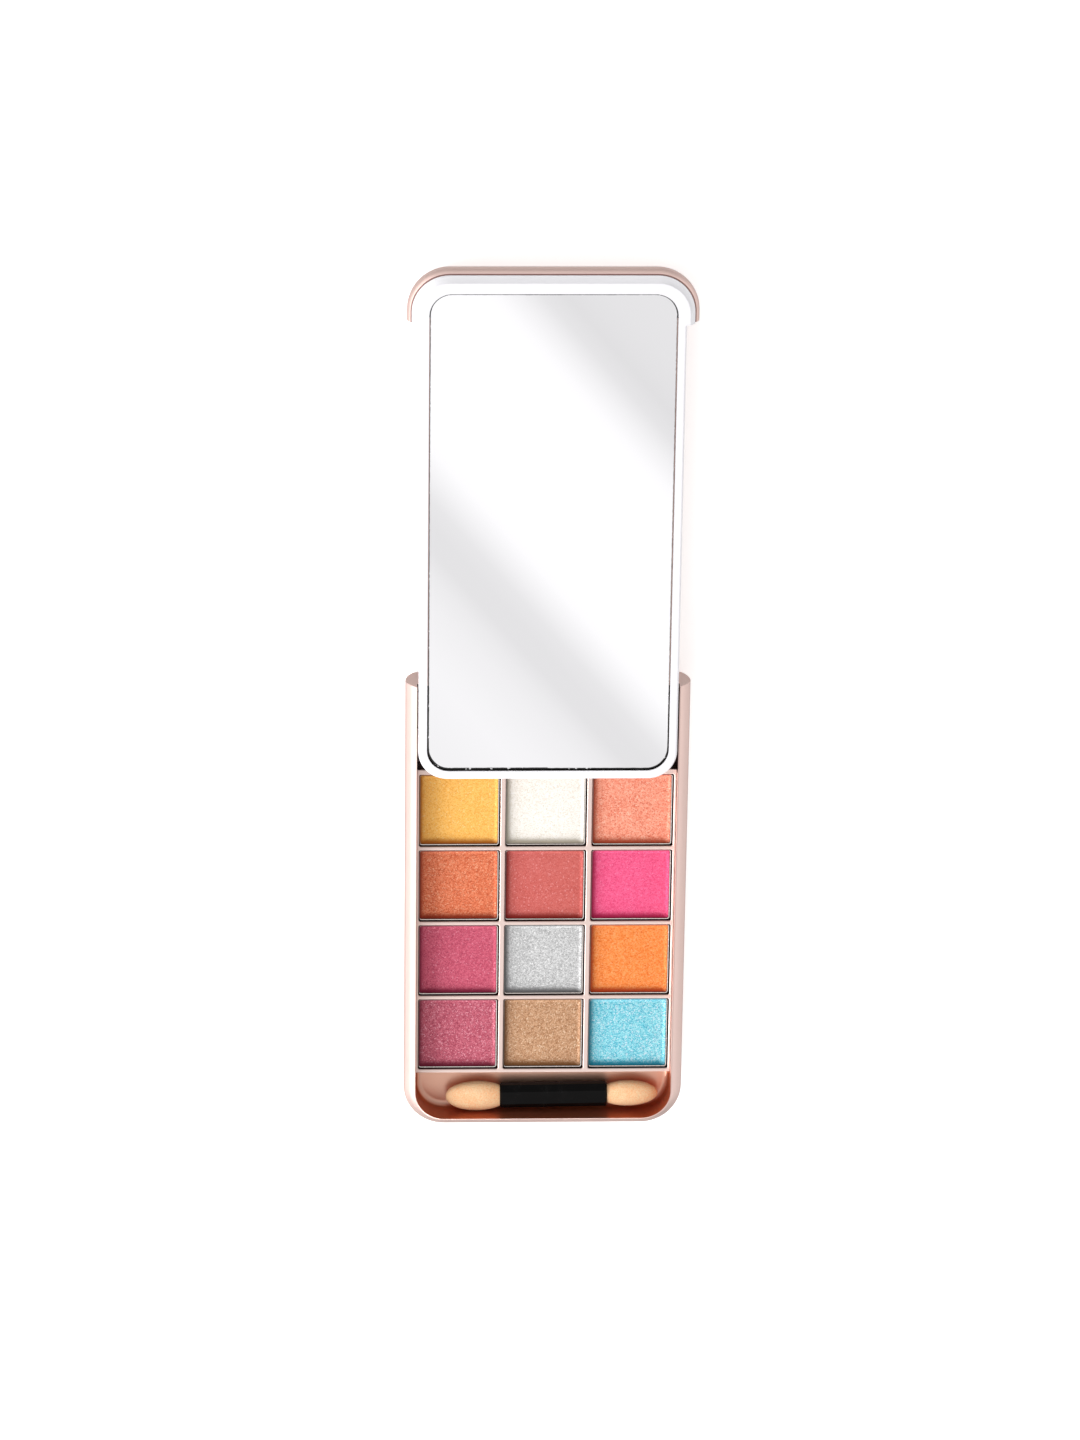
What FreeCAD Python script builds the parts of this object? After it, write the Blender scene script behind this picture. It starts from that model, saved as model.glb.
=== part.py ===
import FreeCAD, Part
import Sketcher
import math
import os

# Slide-out eyeshadow palette.
# Millimetres, +Z out of the palette's face, +Y towards the end from which the
# mirror slides out, +X to the right when looking at the face.
# Origin: centre of the case's flat back face.  The model is in its open pose.

V = FreeCAD.Vector
doc = FreeCAD.newDocument("slide_palette")

# ---------------------------------------------------------------- dimensions
sheet = doc.addObject("Spreadsheet::Sheet", "Dims")
sheet.Label = "Dims"
TABLE = [
    # case
    ("case_width", 72.0), ("case_length", 123.2), ("case_height", 10.5),
    ("corner_outer", 10.5), ("reach", 8.0), ("core_lap", 1.0),
    ("rail_inner", 33.05), ("rim_low", 2.85), ("corner_inner", 7.6),
    ("channel_floor", 8.0), ("floor_top", 1.4), ("trough_floor", 2.8),
    ("trough_edge", 14.25), ("trough_fillet", 1.8), ("end_wall", 1.6),
    ("groove_low", 8.15), ("groove_high", 9.2), ("groove_depth", 0.75),
    ("groove_start", 15.3), ("groove_stop", 1.6),
    # outer section, as inward distance and height of its points
    ("belly_z", 6.0), ("foot_d", 3.3), ("foot_e", 1.97), ("foot_z", 0.45),
    ("belly_r", 8.8), ("foot_r", 1.9), ("knee_d", 0.70), ("knee_z", 7.93), ("knee_r", 3.0),
    ("lip_d", 2.65), ("lip_z", 10.42), ("lip_r", 12.0), ("lip_end", 2.95),
    # tray of wells
    ("tray_half", 32.95), ("tray_low", 14.4), ("tray_length", 84.9), ("deck", 6.9),
    ("well_x", 20.7), ("well_y", 19.87), ("bar_x", 1.3), ("bar_y", 1.0),
    ("well_floor", 2.8), ("well_corner", 0.5), ("bar_round", 0.25), ("columns", 3), ("rows", 4),
    # pans and powders
    ("pan_x", 20.2), ("pan_y", 19.3), ("pan_high", 3.3), ("pan_wall", 0.2), ("pan_corner", 0.65),
    # each pan sits off the middle of its well, against the slider's side and the -X side
    ("pan_off_x", -0.12), ("pan_off_y", 0.03),
    ("glue_high", 0.2), ("glue_radius", 3.0), ("powder_drop", 0.2), ("powder_bevel", 0.2), ("powder_bevel_w", 0.9),
    # mirror slider, drawn open
    ("slide_low", 36.7), ("slide_length", 133.6), ("cap_length", 13.2), ("panel_half", 32.7), ("panel_corner", 7.4),
    ("plate_low", 8.3), ("plate_high", 9.1), ("slide_top", 10.9),
    ("cap_clear", 0.15), ("cap_wall", 1.4), ("cap_side", 2.4), ("cap_floor", 1.5), ("cap_inner_corner", 8.0),
    ("lug_half", 33.6), ("lug_from", 13.2), ("lug_length", 9.95), ("lug_high", 9.0),
    ("split_d", 1.02), ("bezel_d", 1.16), ("bezel_in", 2.5), ("bezel_r", 2.9),
    ("border", 2.2), ("border_top", 5.2), ("opening_half", 30.55), ("opening_corner", 5.6),
    ("mirror_gap", 0.3), ("tape_thick", 0.15), ("tape_inset", 0.5), ("glass_thick", 1.0), ("frame_round", 0.5),
    # applicator
    ("stick_x", 2.9), ("stick_y", -54.2), ("stick_z", 5.4), ("stick_turn", 0.8),
    ("handle_length", 27.7), ("handle_wide", 6.4), ("handle_tall", 4.0), ("handle_facet", 1.5),
    ("rod_radius", 1.0), ("rod_gap", 0.03), ("rod_in", 9.0),
    ("tip_a_length", 14.2), ("tip_a_wide", 8.3), ("tip_a_thick", 4.9), ("tip_a_neck", 0.30),
    ("tip_b_length", 13.4), ("tip_b_wide", 7.2), ("tip_b_thick", 4.5), ("tip_b_neck", 0.30),
]
D = {}
for i, (name, val) in enumerate(TABLE):
    cell = "B%d" % (i + 1)
    sheet.set("A%d" % (i + 1), name)
    sheet.set(cell, "%g" % val)
    sheet.setAlias(cell, name)
    D[name] = float(val)
doc.recompute()


def E(text):
    """Write an expression over the sheet: every alias gets its sheet name."""
    out, word = "", ""
    for ch in text + " ":
        if ch.isalnum() or ch == "_":
            word += ch
        else:
            out += ("Dims." + word) if word in D else word
            word = ""
            out += ch
    return out.strip()


def val(text):
    """Value of the same expression, to draw each sketch near its solution."""
    return float(Fraction_like(text))


def Fraction_like(text):
    # a small sum-of-products reader: names, numbers, + - * / and brackets
    toks, word = [], ""
    for ch in text + " ":
        if ch.isalnum() or ch in "_.":
            word += ch
        else:
            if word:
                toks.append(D[word] if word in D else float(word))
                word = ""
            if ch in "+-*/()":
                toks.append(ch)
    pos = [0]

    def peek():
        return toks[pos[0]] if pos[0] < len(toks) else None

    def atom():
        t = peek()
        pos[0] += 1
        if t == "(":
            v = expr()
            pos[0] += 1
            return v
        if t == "-":
            return -atom()
        if t == "+":
            return atom()
        return t

    def term():
        v = atom()
        while peek() in ("*", "/"):
            op = peek()
            pos[0] += 1
            w = atom()
            v = v * w if op == "*" else v / w
        return v

    def expr():
        v = term()
        while peek() in ("+", "-"):
            op = peek()
            pos[0] += 1
            w = term()
            v = v + w if op == "+" else v - w
        return v

    return expr()


# ---------------------------------------------------------------- helpers
def body(name):
    b = doc.addObject("PartDesign::Body", name)
    b.Label = name
    return b


def plane(b, role):
    return [f for f in b.Origin.OriginFeatures if f.Role == role][0]


def sketch(b, name, role="XY_Plane", offset=None):
    s = b.newObject("Sketcher::SketchObject", name)
    s.AttachmentSupport = (plane(b, role), [""])
    s.MapMode = "FlatFace"
    if offset is not None:
        s.AttachmentOffset = FreeCAD.Placement(V(0, 0, val(offset)), FreeCAD.Rotation())
        s.setExpression("AttachmentOffset.Base.z", E(offset))
    return s


def named(s, con, name, text):
    i = s.addConstraint(con)
    s.renameConstraint(i, name)
    s.setExpression("Constraints." + name, E(text))
    return i


def pin_x(s, g, pt, name, text):
    """Hold a point's x; the sign is carried by the order of the two points."""
    v = val(text)
    if abs(v) < 1e-9:
        s.addConstraint(Sketcher.Constraint("PointOnObject", g, pt, -2))
    elif v > 0:
        named(s, Sketcher.Constraint("DistanceX", -1, 1, g, pt, v), name, text)
    else:
        named(s, Sketcher.Constraint("DistanceX", g, pt, -1, 1, -v), name, "-(" + text + ")")


def pin_y(s, g, pt, name, text):
    v = val(text)
    if abs(v) < 1e-9:
        s.addConstraint(Sketcher.Constraint("PointOnObject", g, pt, -1))
    elif v > 0:
        named(s, Sketcher.Constraint("DistanceY", -1, 1, g, pt, v), name, text)
    else:
        named(s, Sketcher.Constraint("DistanceY", g, pt, -1, 1, -v), name, "-(" + text + ")")


def rect(b, name, x0, x1, y0, y1, r=(None, None, None, None), offset=None, role="XY_Plane"):
    """A rectangle with a radius at each corner: low left, low right, high right, high left."""
    s = sketch(b, name, role, offset)
    X0, X1, Y0, Y1 = val(x0), val(x1), val(y0), val(y1)
    R = [val(q) if q else 0.0 for q in r]
    P = [(X0, Y0), (X1, Y0), (X1, Y1), (X0, Y1)]
    # start and end of each side after its corners are rounded
    sides = [((X0 + R[0], Y0), (X1 - R[1], Y0)), ((X1, Y0 + R[1]), (X1, Y1 - R[2])),
             ((X1 - R[2], Y1), (X0 + R[3], Y1)), ((X0, Y1 - R[3]), (X0, Y0 + R[0]))]
    line = [s.addGeometry(Part.LineSegment(V(a[0], a[1], 0), V(c[0], c[1], 0)), False) for a, c in sides]
    for k in range(4):
        s.addConstraint(Sketcher.Constraint("Horizontal" if k % 2 == 0 else "Vertical", line[k]))
    cen = [(X0 + R[0], Y0 + R[0], math.pi, 1.5 * math.pi), (X1 - R[1], Y0 + R[1], 1.5 * math.pi, 2 * math.pi),
           (X1 - R[2], Y1 - R[2], 0, 0.5 * math.pi), (X0 + R[3], Y1 - R[3], 0.5 * math.pi, math.pi)]
    for k in range(4):
        before, after = line[(k - 1) % 4], line[k]
        if R[k] > 0:
            cx, cy, a0, a1 = cen[k]
            arc = s.addGeometry(Part.ArcOfCircle(Part.Circle(V(cx, cy, 0), V(0, 0, 1), R[k]), a0, a1), False)
            s.addConstraint(Sketcher.Constraint("Tangent", before, 2, arc, 1))
            s.addConstraint(Sketcher.Constraint("Tangent", arc, 2, after, 1))
            named(s, Sketcher.Constraint("Radius", arc, R[k]), "radius%d" % k, r[k])
        else:
            s.addConstraint(Sketcher.Constraint("Coincident", before, 2, after, 1))
    pin_y(s, line[0], 1, "low", y0)
    pin_x(s, line[1], 1, "right", x1)
    pin_y(s, line[2], 1, "high", y1)
    pin_x(s, line[3], 1, "left", x0)
    return s


def section(b, name, pts, arcs, offset, role="XZ_Plane"):
    """A closed section through named points; arcs gives the radius of a curved side by its index."""
    s = sketch(b, name, role, offset)
    n = len(pts)
    xy = [(val(x), val(y)) for x, y in pts]
    ids = []
    for k in range(n):
        a, c = xy[k], xy[(k + 1) % n]
        if k in arcs:
            r, side = arcs[k]
            R = val(r)
            mx, my = (a[0] + c[0]) / 2, (a[1] + c[1]) / 2
            dx, dy = c[0] - a[0], c[1] - a[1]
            L = math.hypot(dx, dy)
            hgt = math.sqrt(max(R * R - L * L / 4, 0))
            cx, cy = mx - side * dy / L * hgt, my + side * dx / L * hgt
            a0, a1 = math.atan2(a[1] - cy, a[0] - cx), math.atan2(c[1] - cy, c[0] - cx)
            if side > 0:
                g = s.addGeometry(Part.ArcOfCircle(Part.Circle(V(cx, cy, 0), V(0, 0, 1), R), a0, a1), False)
                ids.append((g, 1, 2, r, R))
            else:
                g = s.addGeometry(Part.ArcOfCircle(Part.Circle(V(cx, cy, 0), V(0, 0, 1), R), a1, a0), False)
                ids.append((g, 2, 1, r, R))
        else:
            g = s.addGeometry(Part.LineSegment(V(a[0], a[1], 0), V(c[0], c[1], 0)), False)
            ids.append((g, 1, 2, None, None))
    for k in range(n):
        g, st, en = ids[k][:3]
        h, st2 = ids[(k + 1) % n][0], ids[(k + 1) % n][1]
        s.addConstraint(Sketcher.Constraint("Coincident", g, en, h, st2))
    for k in range(n):
        g, st, en, r, R = ids[k]
        pin_x(s, g, st, "px%d" % k, pts[k][0])
        pin_y(s, g, st, "py%d" % k, pts[k][1])
        if r:
            named(s, Sketcher.Constraint("Radius", g, R), "bend%d" % k, r)
    return s


def u_path(b, name, half, y_open, y_end, r):
    """The U that the outer section follows: down one side, round the closed end, up the other."""
    s = sketch(b, name)
    H, A, B, R = val(half), val(y_open), val(y_end), val(r)
    sg = -1 if B < A else 1
    l1 = s.addGeometry(Part.LineSegment(V(-H, A, 0), V(-H, B - sg * R, 0)), False)
    if sg < 0:
        c1 = s.addGeometry(Part.ArcOfCircle(Part.Circle(V(-H + R, B + R, 0), V(0, 0, 1), R), math.pi, 1.5 * math.pi), False)
        c2 = s.addGeometry(Part.ArcOfCircle(Part.Circle(V(H - R, B + R, 0), V(0, 0, 1), R), 1.5 * math.pi, 2 * math.pi), False)
        e1 = ((c1, 1), (c1, 2)); e2 = ((c2, 1), (c2, 2))
    else:
        c1 = s.addGeometry(Part.ArcOfCircle(Part.Circle(V(-H + R, B - R, 0), V(0, 0, 1), R), 0.5 * math.pi, math.pi), False)
        c2 = s.addGeometry(Part.ArcOfCircle(Part.Circle(V(H - R, B - R, 0), V(0, 0, 1), R), 0, 0.5 * math.pi), False)
        e1 = ((c1, 2), (c1, 1)); e2 = ((c2, 2), (c2, 1))
    l2 = s.addGeometry(Part.LineSegment(V(-H + R, B, 0), V(H - R, B, 0)), False)
    l3 = s.addGeometry(Part.LineSegment(V(H, B - sg * R, 0), V(H, A, 0)), False)
    s.addConstraint(Sketcher.Constraint("Vertical", l1))
    s.addConstraint(Sketcher.Constraint("Horizontal", l2))
    s.addConstraint(Sketcher.Constraint("Vertical", l3))
    s.addConstraint(Sketcher.Constraint("Tangent", l1, 2, e1[0][0], e1[0][1]))
    s.addConstraint(Sketcher.Constraint("Tangent", e1[1][0], e1[1][1], l2, 1))
    s.addConstraint(Sketcher.Constraint("Tangent", l2, 2, e2[0][0], e2[0][1]))
    s.addConstraint(Sketcher.Constraint("Tangent", e2[1][0], e2[1][1], l3, 1))
    named(s, Sketcher.Constraint("Radius", c1, R), "bend_a", r)
    named(s, Sketcher.Constraint("Radius", c2, R), "bend_b", r)
    pin_x(s, l1, 1, "left", "-(" + half + ")")
    pin_x(s, l3, 2, "right", half)
    pin_y(s, l1, 1, "open_a", y_open)
    pin_y(s, l3, 2, "open_b", y_open)
    pin_y(s, l2, 1, "closed", y_end)
    return s


def pad(b, s, name, length):
    f = b.newObject("PartDesign::Pad", name)
    f.Profile = s
    f.Length = val(length)
    f.setExpression("Length", E(length))
    f.Refine = False
    return f


def cut(b, s, name, depth, down=True):
    """Pocket a sketch; the volume is compared, because a wrong direction cuts nothing."""
    doc.recompute()
    before = b.Shape.Volume
    f = b.newObject("PartDesign::Pocket", name)
    f.Profile = s
    f.Length = val(depth)
    f.setExpression("Length", E(depth))
    f.Reversed = not down
    f.Refine = False
    doc.recompute()
    if not (b.Shape.Volume < before - 1e-3):
        raise RuntimeError("pocket %s cuts nothing" % name)
    return f


def pipe(b, prof, path, name):
    f = b.newObject("PartDesign::AdditivePipe", name)
    f.Profile = prof
    f.Spine = (path, [])
    f.Mode = "Standard"
    f.Transition = "Transformed"
    f.Refine = False
    return f


def edges_at(shape, test):
    out = []
    for i, e in enumerate(shape.Edges):
        if test(e):
            out.append("Edge%d" % (i + 1))
    return out


def fillet(b, name, test, radius):
    doc.recompute()
    base = b.Tip
    names = edges_at(base.Shape, test)
    if not names:
        raise RuntimeError("no edges for " + name)
    f = b.newObject("PartDesign::Fillet", name)
    f.Base = (base, names)
    f.Radius = val(radius)
    f.setExpression("Radius", E(radius))
    f.Refine = False
    doc.recompute()
    return f


W2 = "case_width/2"
L2 = "case_length/2"

# ---------------------------------------------------------------- case_shell
# Convex outer section swept round the U, a flat core, then the interior.
case = body("case_shell")
case_pts = [("-(" + W2 + ")+reach", "0"), ("-(" + W2 + ")+foot_d", "0"), ("-(" + W2 + ")+foot_e", "foot_z"),
            ("-(" + W2 + ")", "belly_z"), ("-(" + W2 + ")+knee_d", "knee_z"), ("-(" + W2 + ")+lip_d", "lip_z"),
            ("-(" + W2 + ")+lip_end", "case_height"), ("-(" + W2 + ")+reach", "case_height")]
prof = section(case, "RailSection", case_pts,
               {1: ("foot_r", -1), 2: ("belly_r", -1), 3: ("knee_r", -1), 4: ("lip_r", -1)}, "-(" + L2 + ")")
path = u_path(case, "RailPath", W2, L2, "-(" + L2 + ")", "corner_outer")
doc.recompute()
pipe(case, prof, path, "RailSweep")
doc.recompute()
core = rect(case, "CorePlan", "-(" + W2 + ")+reach-core_lap", W2 + "-reach+core_lap",
            "-(" + L2 + ")+reach-core_lap", L2,
            ("corner_outer-reach+core_lap", "corner_outer-reach+core_lap", None, None))
pad(case, core, "Core", "case_height")
trough = rect(case, "TroughPlan", "-rail_inner", "rail_inner", "-(" + L2 + ")+rim_low", "-(" + L2 + ")+trough_edge",
              ("corner_inner", "corner_inner", None, None), "case_height")
cut(case, trough, "ApplicatorTrough", "case_height-trough_floor")


def trough_foot(e):
    bb = e.BoundBox
    z = D["trough_floor"]
    far = -D["case_length"] / 2 + D["trough_edge"]
    return (abs(bb.ZMin - z) < 1e-4 and abs(bb.ZMax - z) < 1e-4 and bb.YMin < far - 0.5
            and abs(bb.XMax) <= D["rail_inner"] + 1e-3)


fillet(case, "TroughFoot", trough_foot, "trough_fillet")
bay = rect(case, "BayPlan", "-rail_inner", "rail_inner", "-(" + L2 + ")+trough_edge", L2 + "-end_wall",
           (None, None, None, None), "case_height")
cut(case, bay, "TrayBay", "case_height-floor_top")
channel = rect(case, "ChannelPlan", "-rail_inner", "rail_inner", L2 + "-end_wall", L2 + "+1",
               (None, None, None, None), "case_height")
cut(case, channel, "SlideChannel", "case_height-channel_floor")
grooves = rect(case, "GroovePlan", "-rail_inner-groove_depth", "rail_inner+groove_depth",
               "-(" + L2 + ")+groove_start", L2 + "-groove_stop", (None, None, None, None), "groove_high")
cut(case, grooves, "SlideGrooves", "groove_high-groove_low")



# ---------------------------------------------------------------- pan_tray
tray = body("pan_tray")
y_t0 = "-(" + L2 + ")+tray_low"
outline = rect(tray, "TrayPlan", "-tray_half", "tray_half", y_t0, y_t0 + "+tray_length",
               (None, None, None, None), "floor_top")
pad(tray, outline, "TrayBlock", "deck-floor_top")
wx0 = "-(well_x*1.5+bar_x)"
wy0 = y_t0 + "+bar_y"
well = rect(tray, "WellPlan", wx0, wx0 + "+well_x", wy0, wy0 + "+well_y",
            ("well_corner", "well_corner", "well_corner", "well_corner"), "deck")
pocket = cut(tray, well, "Well", "deck-well_floor")
multi = tray.newObject("PartDesign::MultiTransform", "WellGrid")
multi.Originals = [pocket]
px = tray.newObject("PartDesign::LinearPattern", "WellColumns")
px.Direction = (plane(tray, "X_Axis"), [""])
px.Length = 2 * (D["well_x"] + D["bar_x"])
px.setExpression("Length", E("(columns-1)*(well_x+bar_x)"))
px.Occurrences = 3
px.setExpression("Occurrences", E("columns"))
py = tray.newObject("PartDesign::LinearPattern", "WellRows")
py.Direction = (plane(tray, "Y_Axis"), [""])
py.Length = 3 * (D["well_y"] + D["bar_y"])
py.setExpression("Length", E("(rows-1)*(well_y+bar_y)"))
py.Occurrences = 4
py.setExpression("Occurrences", E("rows"))
multi.Transformations = [px, py]
tray.Tip = multi
doc.recompute()


def deck_edge(e):
    bb = e.BoundBox
    return abs(bb.ZMin - D["deck"]) < 1e-4 and abs(bb.ZMax - D["deck"]) < 1e-4


fillet(tray, "BarRounding", deck_edge, "bar_round")

# ---------------------------------------------------------------- pans, powders, glue
SHADES = [["gold", "pearl", "coral"], ["copper", "rose", "hot_pink"],
          ["raspberry", "silver", "orange"], ["mauve", "bronze", "sky_blue"]]
parts = [case, tray]
glue = []
for r in range(4):
    for c in range(3):
        shade = SHADES[r][c]
        cx = {0: "-(well_x+bar_x)", 1: "0", 2: "(well_x+bar_x)"}[c]
        # row 1 is the one nearest the slider
        cy = wy0 + "+well_y/2+(%d)*(well_y+bar_y)" % (3 - r)
        # tin pan
        p = body("pan_" + shade)
        o = rect(p, "PanOutline_" + shade, "-pan_x/2", "pan_x/2", "-pan_y/2", "pan_y/2", ("pan_corner",) * 4)
        pad(p, o, "PanBlock_" + shade, "pan_high")
        i = rect(p, "PanInside_" + shade, "-pan_x/2+pan_wall", "pan_x/2-pan_wall", "-pan_y/2+pan_wall",
                 "pan_y/2-pan_wall", ("pan_corner-pan_wall",) * 4, "pan_high")
        cut(p, i, "PanHollow_" + shade, "pan_high-pan_wall")
        # pressed powder with a slanted margin
        q = body("powder_" + shade)
        o = rect(q, "CakeOutline_" + shade, "-pan_x/2+pan_wall", "pan_x/2-pan_wall", "-pan_y/2+pan_wall",
                 "pan_y/2-pan_wall", ("pan_corner-pan_wall",) * 4, "pan_wall")
        pad(q, o, "Cake_" + shade, "pan_high-pan_wall-powder_drop")
        doc.recompute()
        top = D["pan_high"] - D["powder_drop"]
        cake = q.Tip
        ed = edges_at(cake.Shape, lambda e: abs(e.BoundBox.ZMin - top) < 1e-4)
        ch = q.newObject("PartDesign::Chamfer", "CakeMargin_" + shade)
        ch.Base = (cake, ed)
        ch.Size = D["powder_bevel"]
        ch.setExpression("Size", E("powder_bevel"))
        for b in (p, q):
            px_, py_ = cx + "+pan_off_x", cy + "+pan_off_y"
            b.Placement = FreeCAD.Placement(V(val(px_), val(py_), D["well_floor"] + D["glue_high"]), FreeCAD.Rotation())
            b.setExpression("Placement.Base.x", E(px_))
            b.setExpression("Placement.Base.y", E(py_))
            b.setExpression("Placement.Base.z", E("well_floor+glue_high"))
        parts += [p, q]
        # glue dot under the pan
        g = doc.addObject("Part::Cylinder", "GlueDot_" + shade)
        g.setExpression("Radius", E("glue_radius"))
        g.setExpression("Height", E("glue_high"))
        g.setExpression("Placement.Base.x", E(cx))
        g.setExpression("Placement.Base.y", E(cy))
        g.setExpression("Placement.Base.z", E("well_floor"))
        glue.append(g)
doc.recompute()
glue_all = doc.addObject("Part::Compound", "pan_glue")
glue_all.Label = "pan_glue"
glue_all.Links = glue
parts.append(glue_all)

# ---------------------------------------------------------------- slider_back
Y0 = "slide_low"
YE = "slide_low+slide_length"
YC = YE + "-cap_length"
back = body("slider_back")
plate = rect(back, "PlatePlan", "-panel_half", "panel_half", Y0, YC + "+cap_wall",
             ("panel_corner", "panel_corner", None, None), "plate_low")
pad(back, plate, "Plate", "plate_high-plate_low")
cap_pts = [("-(" + W2 + ")+reach", "cap_clear"), ("-(" + W2 + ")+foot_d-0.4", "cap_clear"),
           ("-(" + W2 + ")+foot_e", "foot_z"), ("-(" + W2 + ")", "belly_z"),
           ("-(" + W2 + ")+knee_d", "knee_z"), ("-(" + W2 + ")+split_d", "plate_low"),
           ("-(" + W2 + ")+reach", "plate_low")]
prof = section(back, "CapSection", cap_pts, {1: ("foot_r", -1), 2: ("belly_r", -1), 3: ("knee_r", -1)},
               "-(" + YC + ")")
path = u_path(back, "CapPath", W2, YC, YE, "corner_outer")
doc.recompute()
pipe(back, prof, path, "CapSweep")
capcore = rect(back, "CapCorePlan", "-(" + W2 + ")+reach-core_lap", W2 + "-reach+core_lap", YC,
               YE + "-reach+core_lap", (None, None, "corner_outer-reach+core_lap", "corner_outer-reach+core_lap"),
               "cap_clear")
pad(back, capcore, "CapCore", "plate_low-cap_clear")
caphole = rect(back, "CapHollowPlan", "-(" + W2 + ")+cap_side", W2 + "-cap_side", YC + "+cap_wall",
               YE + "-cap_side", (None, None, "cap_inner_corner", "cap_inner_corner"), "plate_low")
cut(back, caphole, "CapHollow", "plate_low-cap_floor")
lugs = rect(back, "LugPlan", "-lug_half", "lug_half", Y0 + "+lug_from", Y0 + "+lug_from+lug_length",
            (None, None, None, None), "plate_low")
pad(back, lugs, "SlideLugs", "lug_high-plate_low")
parts.append(back)

# ---------------------------------------------------------------- mirror_frame
frame = body("mirror_frame")
panel = rect(frame, "PanelPlan", "-panel_half", "panel_half", Y0, YC + "+1",
             ("panel_corner", "panel_corner", None, None), "plate_high")
pad(frame, panel, "Panel", "slide_top-plate_high")
doc.recompute()
bez_pts = [("-(" + W2 + ")+reach", "plate_low"), ("-(" + W2 + ")+bezel_d", "plate_low"),
           ("-(" + W2 + ")+bezel_in", "slide_top"), ("-(" + W2 + ")+reach", "slide_top")]
prof = section(frame, "BezelSection", bez_pts, {1: ("bezel_r", -1)}, "-(" + YC + ")")
path = u_path(frame, "BezelPath", W2, YC, YE, "corner_outer")
doc.recompute()
pipe(frame, prof, path, "BezelSweep")
bcore = rect(frame, "BezelCorePlan", "-(" + W2 + ")+reach-core_lap", W2 + "-reach+core_lap", YC,
             YE + "-reach+core_lap", (None, None, "corner_outer-reach+core_lap", "corner_outer-reach+core_lap"),
             "plate_low")
pad(frame, bcore, "BezelCore", "slide_top-plate_low")
rebate = rect(frame, "PlateRebatePlan", "-panel_half-0.1", "panel_half+0.1", YC + "-1", YC + "+cap_wall+0.1",
              (None, None, None, None), "plate_high")
cut(frame, rebate, "PlateRebate", "plate_high-plate_low")
opening = rect(frame, "MirrorOpeningPlan", "-opening_half", "opening_half", Y0 + "+border", YE + "-border_top",
               ("opening_corner",) * 4, "slide_top")
cut(frame, opening, "MirrorOpening", "slide_top-plate_high")


def panel_rim(e):
    bb = e.BoundBox
    if abs(bb.ZMin - D["slide_top"]) > 1e-4 or abs(bb.ZMax - D["slide_top"]) > 1e-4:
        return False
    cap_y = D["slide_low"] + D["slide_length"] - D["cap_length"]
    if bb.YMax > cap_y + 1e-3 or bb.YMin > cap_y - 1e-3:
        return False
    out = (abs(abs(bb.XMin) - D["panel_half"]) < 1e-3 or abs(abs(bb.XMax) - D["panel_half"]) < 1e-3
           or abs(bb.YMin - D["slide_low"]) < 1e-3)
    return out


fillet(frame, "PanelRim", panel_rim, "frame_round")
parts.append(frame)

# ---------------------------------------------------------------- mirror and its tape
glass = body("mirror")
gl = rect(glass, "GlassPlan", "-opening_half+mirror_gap", "opening_half-mirror_gap", Y0 + "+border+mirror_gap",
          YE + "-border_top-mirror_gap", ("opening_corner-mirror_gap",) * 4, "plate_high+tape_thick")
pad(glass, gl, "Glass", "glass_thick")
parts.append(glass)
tape = body("mirror_tape")
tp = rect(tape, "TapePlan", "-opening_half+mirror_gap+tape_inset", "opening_half-mirror_gap-tape_inset",
          Y0 + "+border+mirror_gap+tape_inset", YE + "-border_top-mirror_gap-tape_inset",
          ("opening_corner-mirror_gap-tape_inset",) * 4, "plate_high")
pad(tape, tp, "Tape", "tape_thick")
parts.append(tape)

# ---------------------------------------------------------------- applicator
# Its own axis runs along X; the placement lays it in the trough with a small turn.
place = FreeCAD.Placement(V(D["stick_x"], D["stick_y"], D["stick_z"]), FreeCAD.Rotation(V(0, 0, 1), D["stick_turn"]))


def lay(o):
    o.Placement = place
    o.setExpression("Placement.Base.x", E("stick_x"))
    o.setExpression("Placement.Base.y", E("stick_y"))
    o.setExpression("Placement.Base.z", E("stick_z"))
    o.setExpression("Placement.Rotation.Angle", E("stick_turn"))


handle = body("applicator_handle")
hw, ht, hf = "handle_wide/2", "handle_tall/2", "handle_facet"
oct_pts = [("-(" + hw + ")+" + hf, "-(" + ht + ")"), (hw + "-" + hf, "-(" + ht + ")"),
           (hw, "-(" + ht + ")+" + hf + "*0.8"), (hw, ht + "-" + hf + "*0.8"),
           (hw + "-" + hf, ht), ("-(" + hw + ")+" + hf, ht),
           ("-(" + hw + ")", ht + "-" + hf + "*0.8"), ("-(" + hw + ")", "-(" + ht + ")+" + hf + "*0.8")]
hs = section(handle, "HandleSection", oct_pts, {}, "-handle_length/2", "YZ_Plane")
pad(handle, hs, "HandleBar", "handle_length")
doc.recompute()
bs = sketch(handle, "HandleBoreSection", "YZ_Plane", "handle_length/2")
ci = bs.addGeometry(Part.Circle(V(0, 0, 0), V(0, 0, 1), D["rod_radius"] + D["rod_gap"]), False)
bs.addConstraint(Sketcher.Constraint("Coincident", ci, 3, -1, 1))
named(bs, Sketcher.Constraint("Radius", ci, D["rod_radius"] + D["rod_gap"]), "bore", "rod_radius+rod_gap")
cut(handle, bs, "HandleBore", "handle_length")


def handle_end(e):
    bb = e.BoundBox
    return (bb.XLength < 1e-4 and abs(abs(bb.XMin) - D["handle_length"] / 2) < 1e-4
            and e.Curve.TypeId != "Part::GeomCircle")


doc.recompute()
bored = handle.Tip
ends = edges_at(bored.Shape, handle_end)
hc = handle.newObject("PartDesign::Chamfer", "HandleEnds")
hc.Base = (bored, ends)
hc.Size = 0.35
lay(handle)
parts.append(handle)

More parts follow.
